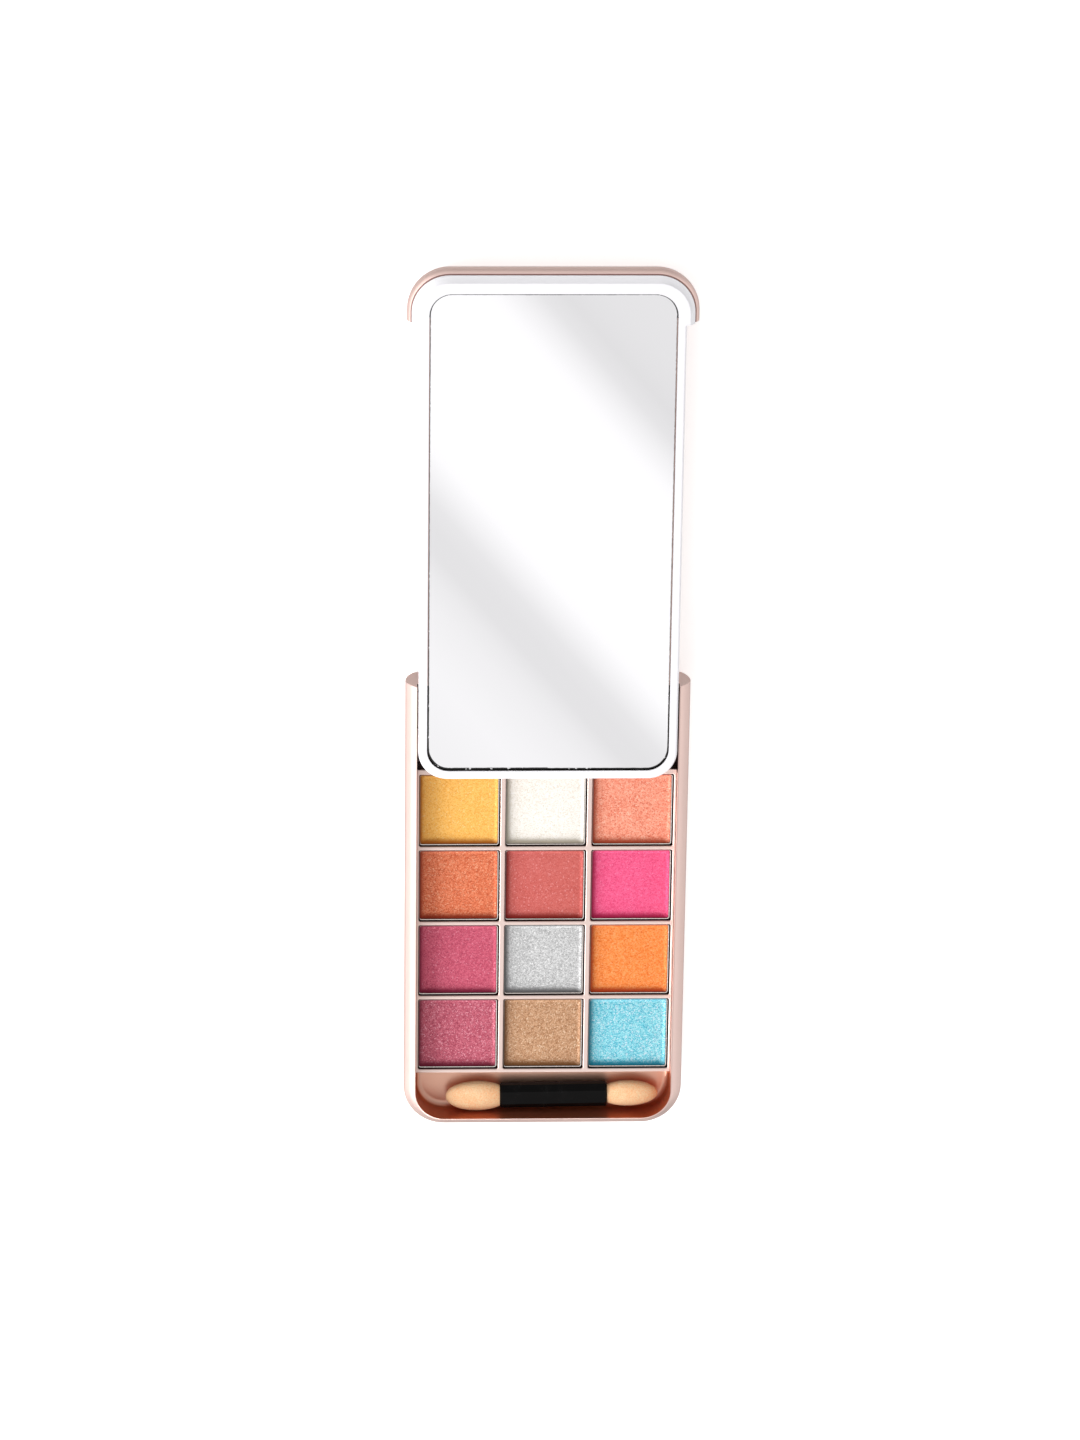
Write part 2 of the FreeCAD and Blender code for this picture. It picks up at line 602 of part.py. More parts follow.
rod = body("applicator_core")
rs = sketch(rod, "RodSection", "YZ_Plane", "-handle_length/2-rod_in")
ci = rs.addGeometry(Part.Circle(V(0, 0, 0), V(0, 0, 1), D["rod_radius"]), False)
rs.addConstraint(Sketcher.Constraint("Coincident", ci, 3, -1, 1))
named(rs, Sketcher.Constraint("Radius", ci, D["rod_radius"]), "rod", "rod_radius")
pad(rod, rs, "Rod", "handle_length+2*rod_in")
lay(rod)
parts.append(rod)


def sponge(name, side, length, wide, thick, neck):
    """Flattened egg whose narrow end is cut where it meets the handle, with a blind hole for the rod.
    It is drawn pointing along +X; the tip of the other end is turned half round."""
    # the egg's half length, when the cut leaves a fraction of it off
    a = "(%s)/(2-%s)" % (length, neck)
    egg = doc.addObject("Part::Ellipsoid", name + "_egg")
    egg.setExpression("Radius1", E(thick + "/2"))
    egg.setExpression("Radius2", E(a))
    egg.setExpression("Radius3", E(wide + "/2"))
    egg.Angle1, egg.Angle2, egg.Angle3 = -90, 90, 360
    egg.setExpression("Placement.Base.x", E("handle_length/2+(%s)-(%s)" % (length, a)))
    box = doc.addObject("Part::Box", name + "_reach")
    for k, t in (("Length", length + "+2"), ("Width", wide + "+2"), ("Height", thick + "+2")):
        box.setExpression(k, E(t))
    box.setExpression("Placement.Base.x", E("handle_length/2"))
    box.setExpression("Placement.Base.y", E("-(" + wide + "+2)/2"))
    box.setExpression("Placement.Base.z", E("-(" + thick + "+2)/2"))
    com = doc.addObject("Part::MultiCommon", name + "_form")
    com.Shapes = [egg, box]
    hole = doc.addObject("Part::Cylinder", name + "_hole")
    hole.setExpression("Radius", E("rod_radius+rod_gap"))
    hole.setExpression("Height", E("rod_in+0.2"))
    hole.Placement = FreeCAD.Placement(V(0, 0, 0), FreeCAD.Rotation(V(0, 1, 0), 90))
    hole.setExpression("Placement.Base.x", E("handle_length/2-0.1"))
    out = doc.addObject("Part::Cut", name)
    out.Label = name
    out.Base, out.Tool = com, hole
    lay(out)
    if side < 0:
        out.Placement = FreeCAD.Placement(place.Base, FreeCAD.Rotation(V(0, 0, 1), D["stick_turn"] + 180))
        out.setExpression("Placement.Rotation.Angle", E("stick_turn+180"))
    return out


parts.append(sponge("sponge_tip_large", -1, "tip_a_length", "tip_a_wide", "tip_a_thick", "tip_a_neck"))
parts.append(sponge("sponge_tip_small", 1, "tip_b_length", "tip_b_wide", "tip_b_thick", "tip_b_neck"))

doc.recompute()

# ---------------------------------------------------------------- checks and export
bad = []
for o in doc.Objects:
    st = [str(x) for x in o.State]
    if "Invalid" in st or "Error" in st:
        bad.append((o.Name, st))
if bad:
    raise RuntimeError("failed objects: %s" % bad)

os.makedirs("parts", exist_ok=True)
for o in parts:
    s = o.Shape
    if s.isNull() or not s.isValid() or not s.Solids:
        raise RuntimeError("bad shape in " + o.Label)
for o in parts:
    s = o.Shape
    s.exportStep("parts/%s.step" % o.Label)
    bb = s.BoundBox
    print("%-20s solids %d volume %9.2f  x %.2f..%.2f y %.2f..%.2f z %.2f..%.2f"
          % (o.Label, len(s.Solids), s.Volume, bb.XMin, bb.XMax, bb.YMin, bb.YMax, bb.ZMin, bb.ZMax))
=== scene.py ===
import math

import bpy
import numpy as np
from mathutils import Matrix, Vector, noise


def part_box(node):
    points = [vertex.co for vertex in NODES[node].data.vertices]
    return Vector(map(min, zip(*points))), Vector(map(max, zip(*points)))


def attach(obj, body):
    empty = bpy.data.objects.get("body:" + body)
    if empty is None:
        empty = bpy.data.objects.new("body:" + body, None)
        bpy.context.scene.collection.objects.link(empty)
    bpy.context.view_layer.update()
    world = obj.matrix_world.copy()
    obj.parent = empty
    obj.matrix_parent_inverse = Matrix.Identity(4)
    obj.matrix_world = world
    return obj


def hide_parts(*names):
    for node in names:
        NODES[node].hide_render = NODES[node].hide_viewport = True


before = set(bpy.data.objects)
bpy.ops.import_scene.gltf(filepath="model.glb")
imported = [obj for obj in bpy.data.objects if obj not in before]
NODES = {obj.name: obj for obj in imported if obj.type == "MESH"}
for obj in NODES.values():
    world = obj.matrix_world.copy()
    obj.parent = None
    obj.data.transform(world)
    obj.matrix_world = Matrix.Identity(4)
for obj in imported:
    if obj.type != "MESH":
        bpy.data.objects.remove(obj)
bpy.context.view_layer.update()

MM = 0.001
scene = bpy.context.scene
scene.view_settings.view_transform = "Standard"
scene.view_settings.look = "None"
scene.view_settings.exposure = 0.0
scene.view_settings.gamma = 1.0


def lin(r, g, b):
    """sRGB 0-255 to linear."""
    out = []
    for v in (r, g, b):
        v = v / 255.0
        out.append(v / 12.92 if v <= 0.04045 else ((v + 0.055) / 1.055) ** 2.4)
    return tuple(out)


def grey(v):
    return lin(v, v, v)[0]


# ------------------------------------------------------------------ camera
TILT, LEAN, TURN = math.radians(22.036), math.radians(2.361), math.radians(0.17)
SHIFT = Vector((1.016, -44.889, -1482.735)) * MM
FOCAL_PX = 5770.0
turn = (
    Matrix.Rotation(TURN, 3, "Z")
    @ Matrix.Rotation(LEAN, 3, "Y")
    @ Matrix.Rotation(TILT, 3, "X")
)
back = turn.transposed()
EYE = -(back @ SHIFT)

cam_data = bpy.data.cameras.new("camera")
cam_data.sensor_fit = "AUTO"
cam_data.sensor_width = 36.0
cam_data.lens = FOCAL_PX / 1440.0 * 36.0
cam_data.clip_start = 0.01
cam_data.clip_end = 60.0
cam = bpy.data.objects.new("camera", cam_data)
cam.matrix_world = Matrix.Translation(EYE) @ back.to_4x4()
scene.collection.objects.link(cam)
scene.camera = cam


# ------------------------------------------------------------------ node helper
class Tree:
    def __init__(self, nt):
        self.nt = nt

    def node(self, kind, **props):
        n = self.nt.nodes.new(kind)
        for k, v in props.items():
            setattr(n, k, v)
        return n

    def put(self, socket, value):
        if isinstance(value, bpy.types.NodeSocket):
            self.nt.links.new(value, socket)
        elif isinstance(value, (tuple, list)) and len(value) == 3 and socket.type == "RGBA":
            socket.default_value = (*value, 1.0)
        else:
            socket.default_value = value

    def set(self, **kw):
        for k, v in kw.items():
            self.put(self.bsdf.inputs[k.replace("_", " ")], v)
        return self

    def math(self, op, a, b=None, c=None, clamp=False):
        n = self.node("ShaderNodeMath", operation=op, use_clamp=clamp)
        for i, v in enumerate((a, b, c)):
            if v is not None:
                self.put(n.inputs[i], v)
        return n.outputs[0]

    def noise(self, scale, detail=2.0, rough=0.5, at=None, distort=0.0):
        n = self.node("ShaderNodeTexNoise")
        self.put(n.inputs["Vector"], at or self.pos)
        n.inputs["Scale"].default_value = scale
        n.inputs["Detail"].default_value = detail
        n.inputs["Roughness"].default_value = rough
        n.inputs["Distortion"].default_value = distort
        return n.outputs["Fac"]

    def cells(self, scale, at=None, feature="F1", rand=1.0):
        """Voronoi: (distance, one random number per cell, another one)."""
        n = self.node("ShaderNodeTexVoronoi", feature=feature)
        self.put(n.inputs["Vector"], at or self.pos)
        n.inputs["Scale"].default_value = scale
        n.inputs["Randomness"].default_value = rand
        s = self.node("ShaderNodeSeparateColor")
        self.nt.links.new(n.outputs["Color"], s.inputs[0])
        return n.outputs["Distance"], s.outputs[0], s.outputs[1]

    def mix(self, fac, a, b):
        n = self.node("ShaderNodeMix", data_type="RGBA")
        self.put(n.inputs[0], fac)
        self.put(n.inputs[6], a)
        self.put(n.inputs[7], b)
        return n.outputs[2]

    def mixf(self, fac, a, b):
        n = self.node("ShaderNodeMix", data_type="FLOAT")
        self.put(n.inputs[0], fac)
        self.put(n.inputs[2], a)
        self.put(n.inputs[3], b)
        return n.outputs[0]

    def span(self, v, lo, hi, a=0.0, b=1.0, smooth=False):
        n = self.node("ShaderNodeMapRange", clamp=True)
        if smooth:
            n.interpolation_type = "SMOOTHSTEP"
        self.put(n.inputs[0], v)
        for i, x in enumerate((lo, hi, a, b)):
            self.put(n.inputs[i + 1], x)
        return n.outputs[0]

    def xyz(self, v=None):
        n = self.node("ShaderNodeSeparateXYZ")
        self.nt.links.new(v or self.pos, n.inputs[0])
        return n.outputs

    def bump(self, height, strength, distance, normal=None):
        n = self.node("ShaderNodeBump")
        n.inputs["Strength"].default_value = strength
        n.inputs["Distance"].default_value = distance
        self.put(n.inputs["Height"], height)
        if normal is not None:
            self.put(n.inputs["Normal"], normal)
        return n.outputs["Normal"]

    def attribute(self, name):
        n = self.node("ShaderNodeAttribute", attribute_name=name)
        return n.outputs["Fac"]

    def box_edge(self, x0, x1, y0, y1, r):
        """Signed distance to a rounded rectangle in X and Y, below zero inside it."""
        x, y, _ = self.xyz()
        px = self.math("SUBTRACT", self.math("ABSOLUTE", self.math("SUBTRACT", x, (x0 + x1) / 2)), (x1 - x0) / 2 - r)
        py = self.math("SUBTRACT", self.math("ABSOLUTE", self.math("SUBTRACT", y, (y0 + y1) / 2)), (y1 - y0) / 2 - r)
        ox, oy = self.math("MAXIMUM", px, 0.0), self.math("MAXIMUM", py, 0.0)
        out = self.math("SQRT", self.math("ADD", self.math("MULTIPLY", ox, ox), self.math("MULTIPLY", oy, oy)))
        deep = self.math("MINIMUM", self.math("MAXIMUM", px, py), 0.0)
        return self.math("SUBTRACT", self.math("ADD", out, deep), r)


class Mat(Tree):
    def __init__(self, name):
        self.mat = bpy.data.materials.new(name)
        self.mat.use_nodes = True
        super().__init__(self.mat.node_tree)
        self.nt.nodes.clear()
        self.out = self.node("ShaderNodeOutputMaterial")
        self.bsdf = self.node("ShaderNodeBsdfPrincipled")
        self.nt.links.new(self.bsdf.outputs["BSDF"], self.out.inputs["Surface"])
        self.pos = self.node("ShaderNodeTexCoord").outputs["Object"]


def scaled(rgb, k):
    return tuple(min(max(c * k, 0.0), 1.0) for c in rgb)


def richer(rgb, k):
    """The same brightness with more colour."""
    grey_of = 0.2126 * rgb[0] + 0.7152 * rgb[1] + 0.0722 * rgb[2]
    return tuple(min(max(grey_of + (c - grey_of) * k, 0.0), 1.0) for c in rgb)


def paint(name, material):
    """Gives a CAD node a material, on its object's own slots."""
    o = NODES[name]
    for s in o.material_slots:
        s.link = "OBJECT"
        s.material = material
    return o


# ------------------------------------------------------------------ materials of the hard parts
def satin_metal(m, tone, deep, glossy=None):
    """A satin metallised finish: fine flake, faint orange peel and a few handling marks. glossy is not used."""
    flake = m.noise(9000, 1.0)
    cloud = m.noise(60, 2.0)
    f = m.math("ADD", m.math("MULTIPLY", flake, 0.6), m.math("MULTIPLY", cloud, 0.5), clamp=True)
    colour = m.mix(f, deep, tone)
    rough = m.math("ADD", m.math("MULTIPLY", m.noise(700, 3.0), 0.10), 0.27)
    return colour, rough, flake


# the case and the slider's back shell: satin rose gold outside, polished copper tone inside the applicator trough,
# where the copper is painted reflection and painted shade: pale on the floor, darker and redder up the walls
case_mat = Mat("rose_gold_case")
m = case_mat
colour, rough, flake = satin_metal(m, lin(250, 220, 211), lin(243, 209, 199))
x, y, z = m.xyz()
ax = m.math("ABSOLUTE", x)
qx = m.math("MAXIMUM", m.math("SUBTRACT", ax, 25.45 * MM), 0.0)
qy = m.math("MAXIMUM", m.math("SUBTRACT", -51.15 * MM, y), 0.0)
r = m.math("SQRT", m.math("ADD", m.math("MULTIPLY", qx, qx), m.math("MULTIPLY", qy, qy)))
inside = m.math("LESS_THAN", r, 7.95 * MM)
inside = m.math("MULTIPLY", inside, m.math("LESS_THAN", ax, 33.4 * MM))
inside = m.math("MULTIPLY", inside, m.math("LESS_THAN", y, -47.1 * MM))
inside = m.math("MULTIPLY", inside, m.math("LESS_THAN", z, 10.30 * MM))
inside = m.math("MULTIPLY", inside, m.math("GREATER_THAN", z, 2.0 * MM))
trough_rough = m.math("ADD", m.math("MULTIPLY", m.noise(160, 2.0), 0.08), 0.33)
# painted reflection and shade in the trough: a pale copper floor, and walls painted darker and redder
trough_low = m.mix(m.noise(140, 2.0), lin(242, 186, 160), lin(250, 202, 180))
trough_wall_shade = m.mix(m.noise(140, 2.0), lin(196, 106, 70), lin(208, 122, 88))
trough_painted_tone = m.mix(m.span(z, 2.82 * MM, 3.7 * MM, smooth=True), trough_low, trough_wall_shade)
# a fine shadow line where the white bezel sits on the cap
seam = m.math("MULTIPLY", m.math("GREATER_THAN", z, 8.10 * MM), m.math("LESS_THAN", z, 8.32 * MM))
seam = m.math("MULTIPLY", seam, m.math("GREATER_THAN", y, 157.0 * MM))
colour = m.mix(m.math("MULTIPLY", seam, 0.85), colour, lin(118, 76, 70))
colour = m.mix(inside, colour, trough_painted_tone)
# the bay that the slider runs in, and the rails' inner walls beside the slider, are painted dark brown and less
# metallic: painted shade under and beside the slider
bay_shade = m.math("MULTIPLY", m.math("LESS_THAN", ax, 33.85 * MM), m.math("GREATER_THAN", y, 37.2 * MM))
bay_shade = m.math("MULTIPLY", bay_shade, m.math("MULTIPLY", m.math("GREATER_THAN", z, 1.5 * MM), m.math("LESS_THAN", z, 9.3 * MM)))
bay_shade = m.math("MULTIPLY", bay_shade, m.math("LESS_THAN", y, 61.5 * MM))
bay_shade = m.math("MULTIPLY", bay_shade, m.math("MAXIMUM", m.math("LESS_THAN", z, 8.25 * MM), m.math("LESS_THAN", ax, 33.2 * MM)))
case_colour = m.mix(bay_shade, colour, m.mix(m.noise(900, 3.0), lin(44, 24, 19), lin(66, 38, 30)))
m.set(
    Base_Color=case_colour,
    Metallic=m.mixf(bay_shade, m.mixf(inside, 0.72, 0.80), 0.3),
    Roughness=m.mixf(inside, rough, trough_rough),
    Normal=m.bump(flake, 0.05, 0.00003),
)
for n in ("case_shell", "slider_back"):
    paint(n, m.mat)

# the pan tray: the same rose gold, a little greyer
m = Mat("tray")
colour, rough, flake = satin_metal(m, lin(240, 218, 210), lin(231, 207, 199))
cloud_low = m.noise(300, 2.0)
x, y, z = m.xyz()
# the wells below the deck are painted dark brown: painted shade down between the pans; only the deck and its rounded
# edges are metallised
low = m.span(z, 6.60 * MM, 6.84 * MM, 1.0, 0.0)
m.set(
    Base_Color=m.mix(low, colour, m.mix(cloud_low, lin(40, 17, 11), lin(62, 28, 18))),
    Metallic=m.mixf(low, 0.8, 0.35),
    Roughness=m.math("ADD", rough, 0.12),
    Normal=m.bump(flake, 0.05, 0.00003),
)
paint("pan_tray", m.mat)

# tinplate pans: bright drawn tin with faint vertical draw marks; the rims along -X and +Y take the pigment's dark tone,
# as pigment dust and painted shadow of the bars, and the walls below the rim are painted dark as painted shade
def tin(shade, dust_shade_tone):
    m = Mat("tin_" + shade)
    lo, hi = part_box("pan_" + shade)
    stretch = m.node("ShaderNodeVectorMath", operation="MULTIPLY")
    m.put(stretch.inputs[0], m.pos)
    stretch.inputs[1].default_value = (1.0, 1.0, 0.08)
    draw = m.noise(5200, 3.0, at=stretch.outputs[0])
    x, y, z = m.xyz()
    # the pan's walls below the rim are painted dark brown and less metallic: painted shade in the gap round the pan
    wall = m.span(z, hi.z - 0.16 * MM, hi.z - 0.04 * MM, 1.0, 0.0)
    # the rims along -X and +Y take the pigment's dark tone: pigment dust and painted shadow of the bars
    grit = m.math("MULTIPLY", m.math("SUBTRACT", m.noise(2600, 2.0), 0.5), 0.24 * MM)
    low = m.math("LESS_THAN", m.math("ADD", x, grit), lo.x + 0.24 * MM)
    far = m.math("GREATER_THAN", m.math("ADD", y, grit), hi.y - 0.24 * MM)
    dust_and_shade = m.math("MULTIPLY", m.math("MAXIMUM", low, far), 0.85)
    bright = m.mix(dust_and_shade, m.mix(draw, lin(226, 214, 207), lin(246, 238, 233)), dust_shade_tone)
    m.set(
        Base_Color=m.mix(wall, bright, m.mix(draw, lin(26, 16, 13), lin(46, 32, 27))),
        Metallic=m.math("SUBTRACT", m.mixf(wall, 0.55, 0.4), m.math("MULTIPLY", dust_and_shade, m.math("SUBTRACT", 1.0, wall)), clamp=True),
        Roughness=m.math("ADD", m.math("MULTIPLY", m.noise(1500, 2.0), 0.12), m.mixf(dust_and_shade, 0.2, 0.6)),
        Normal=m.bump(draw, 0.12, 0.00002),
    )
    paint("pan_" + shade, m.mat)


# glossy white plastic
m = Mat("white_frame")
cloud = m.noise(45, 3.0)
peel = m.noise(900, 2.0)
x, y, z = m.xyz()
# the wall of the mirror's seat, where the glass is bonded, is painted dark, darkest at its lower end: painted shade in
# the gap round the glass
seat_shade = m.math("LESS_THAN", m.math("ABSOLUTE", x), 30.66 * MM)
seat_shade = m.math("MULTIPLY", seat_shade, m.math("GREATER_THAN", y, 38.80 * MM))
seat_shade = m.math("MULTIPLY", seat_shade, m.math("LESS_THAN", y, 165.2 * MM))
seat_shade = m.math("MULTIPLY", seat_shade, m.math("LESS_THAN", z, m.math("ADD", m.math("MULTIPLY", m.noise(420, 2.0), 0.25 * MM), 10.42 * MM)))
seat_shade_tone = m.mix(m.span(y, 40 * MM, 50 * MM), lin(40, 37, 37), lin(104, 98, 97))
m.set(
    Base_Color=m.mix(seat_shade, m.mix(cloud, lin(238, 236, 240), lin(244, 243, 246)), seat_shade_tone),
    Roughness=m.math("ADD", m.math("MULTIPLY", m.noise(350, 3.0), 0.10), 0.16),
    Coat_Weight=0.35,
    Coat_Roughness=0.06,
    Normal=m.bump(peel, 0.03, 0.00004),
)
paint("mirror_frame", m.mat)

# silvered glass: a clean face, and ground edges where the glass body shows grey green
m = Mat("mirror")
x, y, z = m.xyz()
face = m.math("GREATER_THAN", z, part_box("mirror")[1].z - 0.00001)
smudge = m.span(m.noise(38, 4.0, 0.6), 0.52, 0.80)
speck = m.math("GREATER_THAN", m.cells(420)[1], 0.997)
glo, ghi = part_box("mirror")
edge = m.box_edge(glo.x, ghi.x, glo.y, ghi.y, 5.3 * MM)
# the silvering stops short of the edge, unevenly, and leaves a dark line round the glass; the line is painted wider at
# the lower end, as painted shade and painted reflection of the seat's wall, and wider along the lower left side
edge = m.math("ADD", edge, m.math("MULTIPLY", m.math("SUBTRACT", m.noise(700, 3.0), 0.5), 0.16 * MM))
width = m.span(y, glo.y + 2 * MM, glo.y + 7 * MM, 0.30 * MM, 0.07 * MM, smooth=True)
port = m.math("MULTIPLY", m.math("LESS_THAN", x, 0.0), m.span(y, glo.y + 4 * MM, glo.y + 70 * MM, 0.14 * MM, 0.0))
edge = m.math("ADD", edge, m.math("ADD", width, port))
bare_edge_and_shade = m.span(edge, -0.08 * MM, 0.08 * MM, 0.0, 1.0, smooth=True)
chip = m.math("GREATER_THAN", m.cells(2200)[1], 0.95)
bare_edge_and_shade = m.math("MULTIPLY", bare_edge_and_shade, m.math("SUBTRACT", 1.0, m.math("MULTIPLY", chip, 0.75)))
body = m.mix(m.noise(900, 2.0), lin(52, 56, 54), lin(84, 90, 87))
m.set(
    Base_Color=m.mix(face, body, m.mix(bare_edge_and_shade, lin(252, 251, 253), lin(26, 25, 25))),
    Metallic=m.mixf(m.math("MULTIPLY", face, bare_edge_and_shade), 1.0, 0.3),
    Roughness=m.mixf(face, 0.35, m.math("ADD", m.math("MULTIPLY", smudge, 0.02), m.math("MULTIPLY", speck, 0.004))),
)
paint("mirror", m.mat)

# the foam tape behind the mirror
m = Mat("tape")
pit = m.cells(5200)[0]
m.set(
    Base_Color=m.mix(pit, lin(196, 194, 190), lin(236, 234, 230)),
    Roughness=0.9,
    Normal=m.bump(pit, 0.4, 0.00005),
)
paint("mirror_tape", m.mat)

# the drops of glue under the pans
m = Mat("glue")
swirl = m.noise(700, 4.0, distort=0.6)
m.set(
    Base_Color=m.mix(swirl, lin(214, 206, 186), lin(240, 236, 224)),
    Roughness=m.math("ADD", m.math("MULTIPLY", swirl, 0.2), 0.22),
    Normal=m.bump(swirl, 0.3, 0.00005),
)
paint("pan_glue", m.mat)

# moulded glossy black plastic
m = Mat("black_handle")
peel = m.noise(1300, 3.0)
scuff = m.span(m.noise(260, 5.0, 0.65), 0.50, 0.75)
m.set(
    Base_Color=m.mix(scuff, lin(11, 10, 10), lin(19, 18, 18)),
    Roughness=m.math("ADD", m.math("MULTIPLY", scuff, 0.16), 0.20),
    Specular_IOR_Level=0.09,
    Normal=m.bump(peel, 0.06, 0.00004),
)
paint("applicator_handle", m.mat)

m = Mat("core_plastic")
grain = m.noise(2400, 3.0)
m.set(
    Base_Color=m.mix(grain, lin(214, 211, 204), lin(236, 234, 229)),
    Roughness=m.math("ADD", m.math("MULTIPLY", grain, 0.2), 0.35),
    Normal=m.bump(grain, 0.1, 0.00003),
)
paint("applicator_core", m.mat)


# ------------------------------------------------------------------ pressed powders
def rng_field(seed, shape):
    return np.random.RandomState(seed).rand(*shape)


def smooth_noise(seed, X, Y, size):
    """Value noise on a grid of the given cell size, smooth between its points."""
    rs = np.random.RandomState(seed)
    gx, gy = X / size, Y / size
    ox, oy = math.floor(gx.min()) - 1, math.floor(gy.min()) - 1
    nx, ny = int(gx.max() - ox) + 3, int(gy.max() - oy) + 3
    g = rs.rand(nx, ny) - 0.5
    ix, iy = np.floor(gx - ox).astype(int), np.floor(gy - oy).astype(int)
    fx, fy = gx - ox - ix, gy - oy - iy
    fx, fy = fx * fx * (3 - 2 * fx), fy * fy * (3 - 2 * fy)
    a = g[ix, iy] * (1 - fx) + g[ix + 1, iy] * fx
    b = g[ix, iy + 1] * (1 - fx) + g[ix + 1, iy + 1] * fx
    return a * (1 - fy) + b * fy


def step(v, lo, hi):
    t = np.clip((v - lo) / (hi - lo), 0, 1)
    return t * t * (3 - 2 * t)


def powder_mesh(name, seed, grain, lumps, dome):
    """A pressed powder cake: it climbs to the pan's wall along its edge, and has a grainy, slightly crowned field."""
    lo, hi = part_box(name)
    cx, cy = (lo.x + hi.x) / 2 / MM, (lo.y + hi.y) / 2 / MM
    a, b = (hi.x - lo.x) / 2 / MM - 0.01, (hi.y - lo.y) / 2 / MM - 0.01
    top, base = hi.z / MM, lo.z / MM + 0.01
    rad = 0.42
    nx, ny = 104, 100
    u = np.linspace(-1, 1, nx)
    # rows are evenly spaced: the power of 1.0 leaves them as they are; the corners are rounded by the width given to
    # each row
    v = np.linspace(-1, 1, ny)
    v = np.sign(v) * (1 - (1 - np.abs(v)) ** 1.0)
    U, V = np.meshgrid(u, v, indexing="ij")
    Y = V * b
    over = np.clip(np.abs(Y) - (b - rad), 0, rad)
    half = a - rad + np.sqrt(np.maximum(rad * rad - over * over, 0))
    X = U * half
    wob = 0.07 * smooth_noise(seed + 5, X, Y, 1.7) + 0.04 * smooth_noise(seed + 6, X, Y, 0.5)
    dx, dy = half - np.abs(X), b - np.abs(Y)
    k = 0.9
    h = np.clip(0.5 + 0.5 * (dy - dx) / k, 0, 1)
    d = dy * (1 - h) + dx * h - k * h * (1 - h)
    d = np.maximum(d, 0) + wob
    slope = step(d, 0.02, 0.95)
    z = top - 0.06 - 0.34 * slope
    z += dome * 0.12 * (1 - (X / a) ** 2) * (1 - (Y / b) ** 2) * slope
    rough = rng_field(seed, X.shape) - 0.5
    z += grain * (0.030 * rough + 0.035 * smooth_noise(seed + 1, X, Y, 0.45)) * (0.25 + 0.75 * slope)
    z += lumps * (0.06 * smooth_noise(seed + 2, X, Y, 2.2) + 0.03 * smooth_noise(seed + 3, X, Y, 0.9)) * slope
    verts = np.stack([X + cx, Y + cy, z], 2).reshape(-1, 3)
    idx = np.arange(nx * ny).reshape(nx, ny)
    faces = [
        (idx[i, j], idx[i + 1, j], idx[i + 1, j + 1], idx[i, j + 1])
        for i in range(nx - 1)
        for j in range(ny - 1)
    ]
    rim = (
        [idx[i, 0] for i in range(nx)]
        + [idx[nx - 1, j] for j in range(1, ny)]
        + [idx[i, ny - 1] for i in range(nx - 2, -1, -1)]
        + [idx[0, j] for j in range(ny - 2, 0, -1)]
    )
    foot = verts[rim].copy()
    foot[:, 2] = base
    n0 = len(verts)
    verts = np.vstack([verts, foot])
    count = len(rim)
    for i in range(count):
        j = (i + 1) % count
        faces.append((rim[j], rim[i], n0 + i, n0 + j))
    faces.append(tuple(n0 + i for i in range(count - 1, -1, -1)))
    mesh = bpy.data.meshes.new("cake_" + name[7:])
    mesh.from_pydata((verts * MM).tolist(), [], [tuple(int(q) for q in f) for f in faces])
    mesh.validate()
    mesh.update()
    edge = mesh.attributes.new("packed_and_shaded_edge", "FLOAT", "POINT")
    # the edge band is packed pigment and painted shadow of the bars, darkest along the -Y and -X sides
    side_darkness = h * np.where(X < 0, 0.80, 0.22) + (1 - h) * np.where(Y < 0, 1.0, 0.40)
    wide = h * np.where(X < 0, 1.25, 0.55) + (1 - h) * np.where(Y < 0, 1.9, 0.75)
    t = np.clip(d / wide, 0, 1)
    edge_pigment_and_shade = side_darkness * (1 - t * t * (3 - 2 * t))
    # painted shade: the cake also darkens towards its -X and -Y ends
    edge_pigment_and_shade = np.maximum(edge_pigment_and_shade, 0) + 0.13 * (1 - np.clip((X + a) / 9, 0, 1)) ** 2 + 0.10 * (1 - np.clip((Y + b) / 7, 0, 1)) ** 2
    edge_pigment_and_shade = np.clip(edge_pigment_and_shade, 0, 1)
    vals = np.concatenate([edge_pigment_and_shade.reshape(-1), np.zeros(count)]).astype(np.float32)
    edge.data.foreach_set("value", vals)
    mesh.polygons.foreach_set("use_smooth", [True] * ((nx - 1) * (ny - 1)) + [False] * (count + 1))
    return mesh


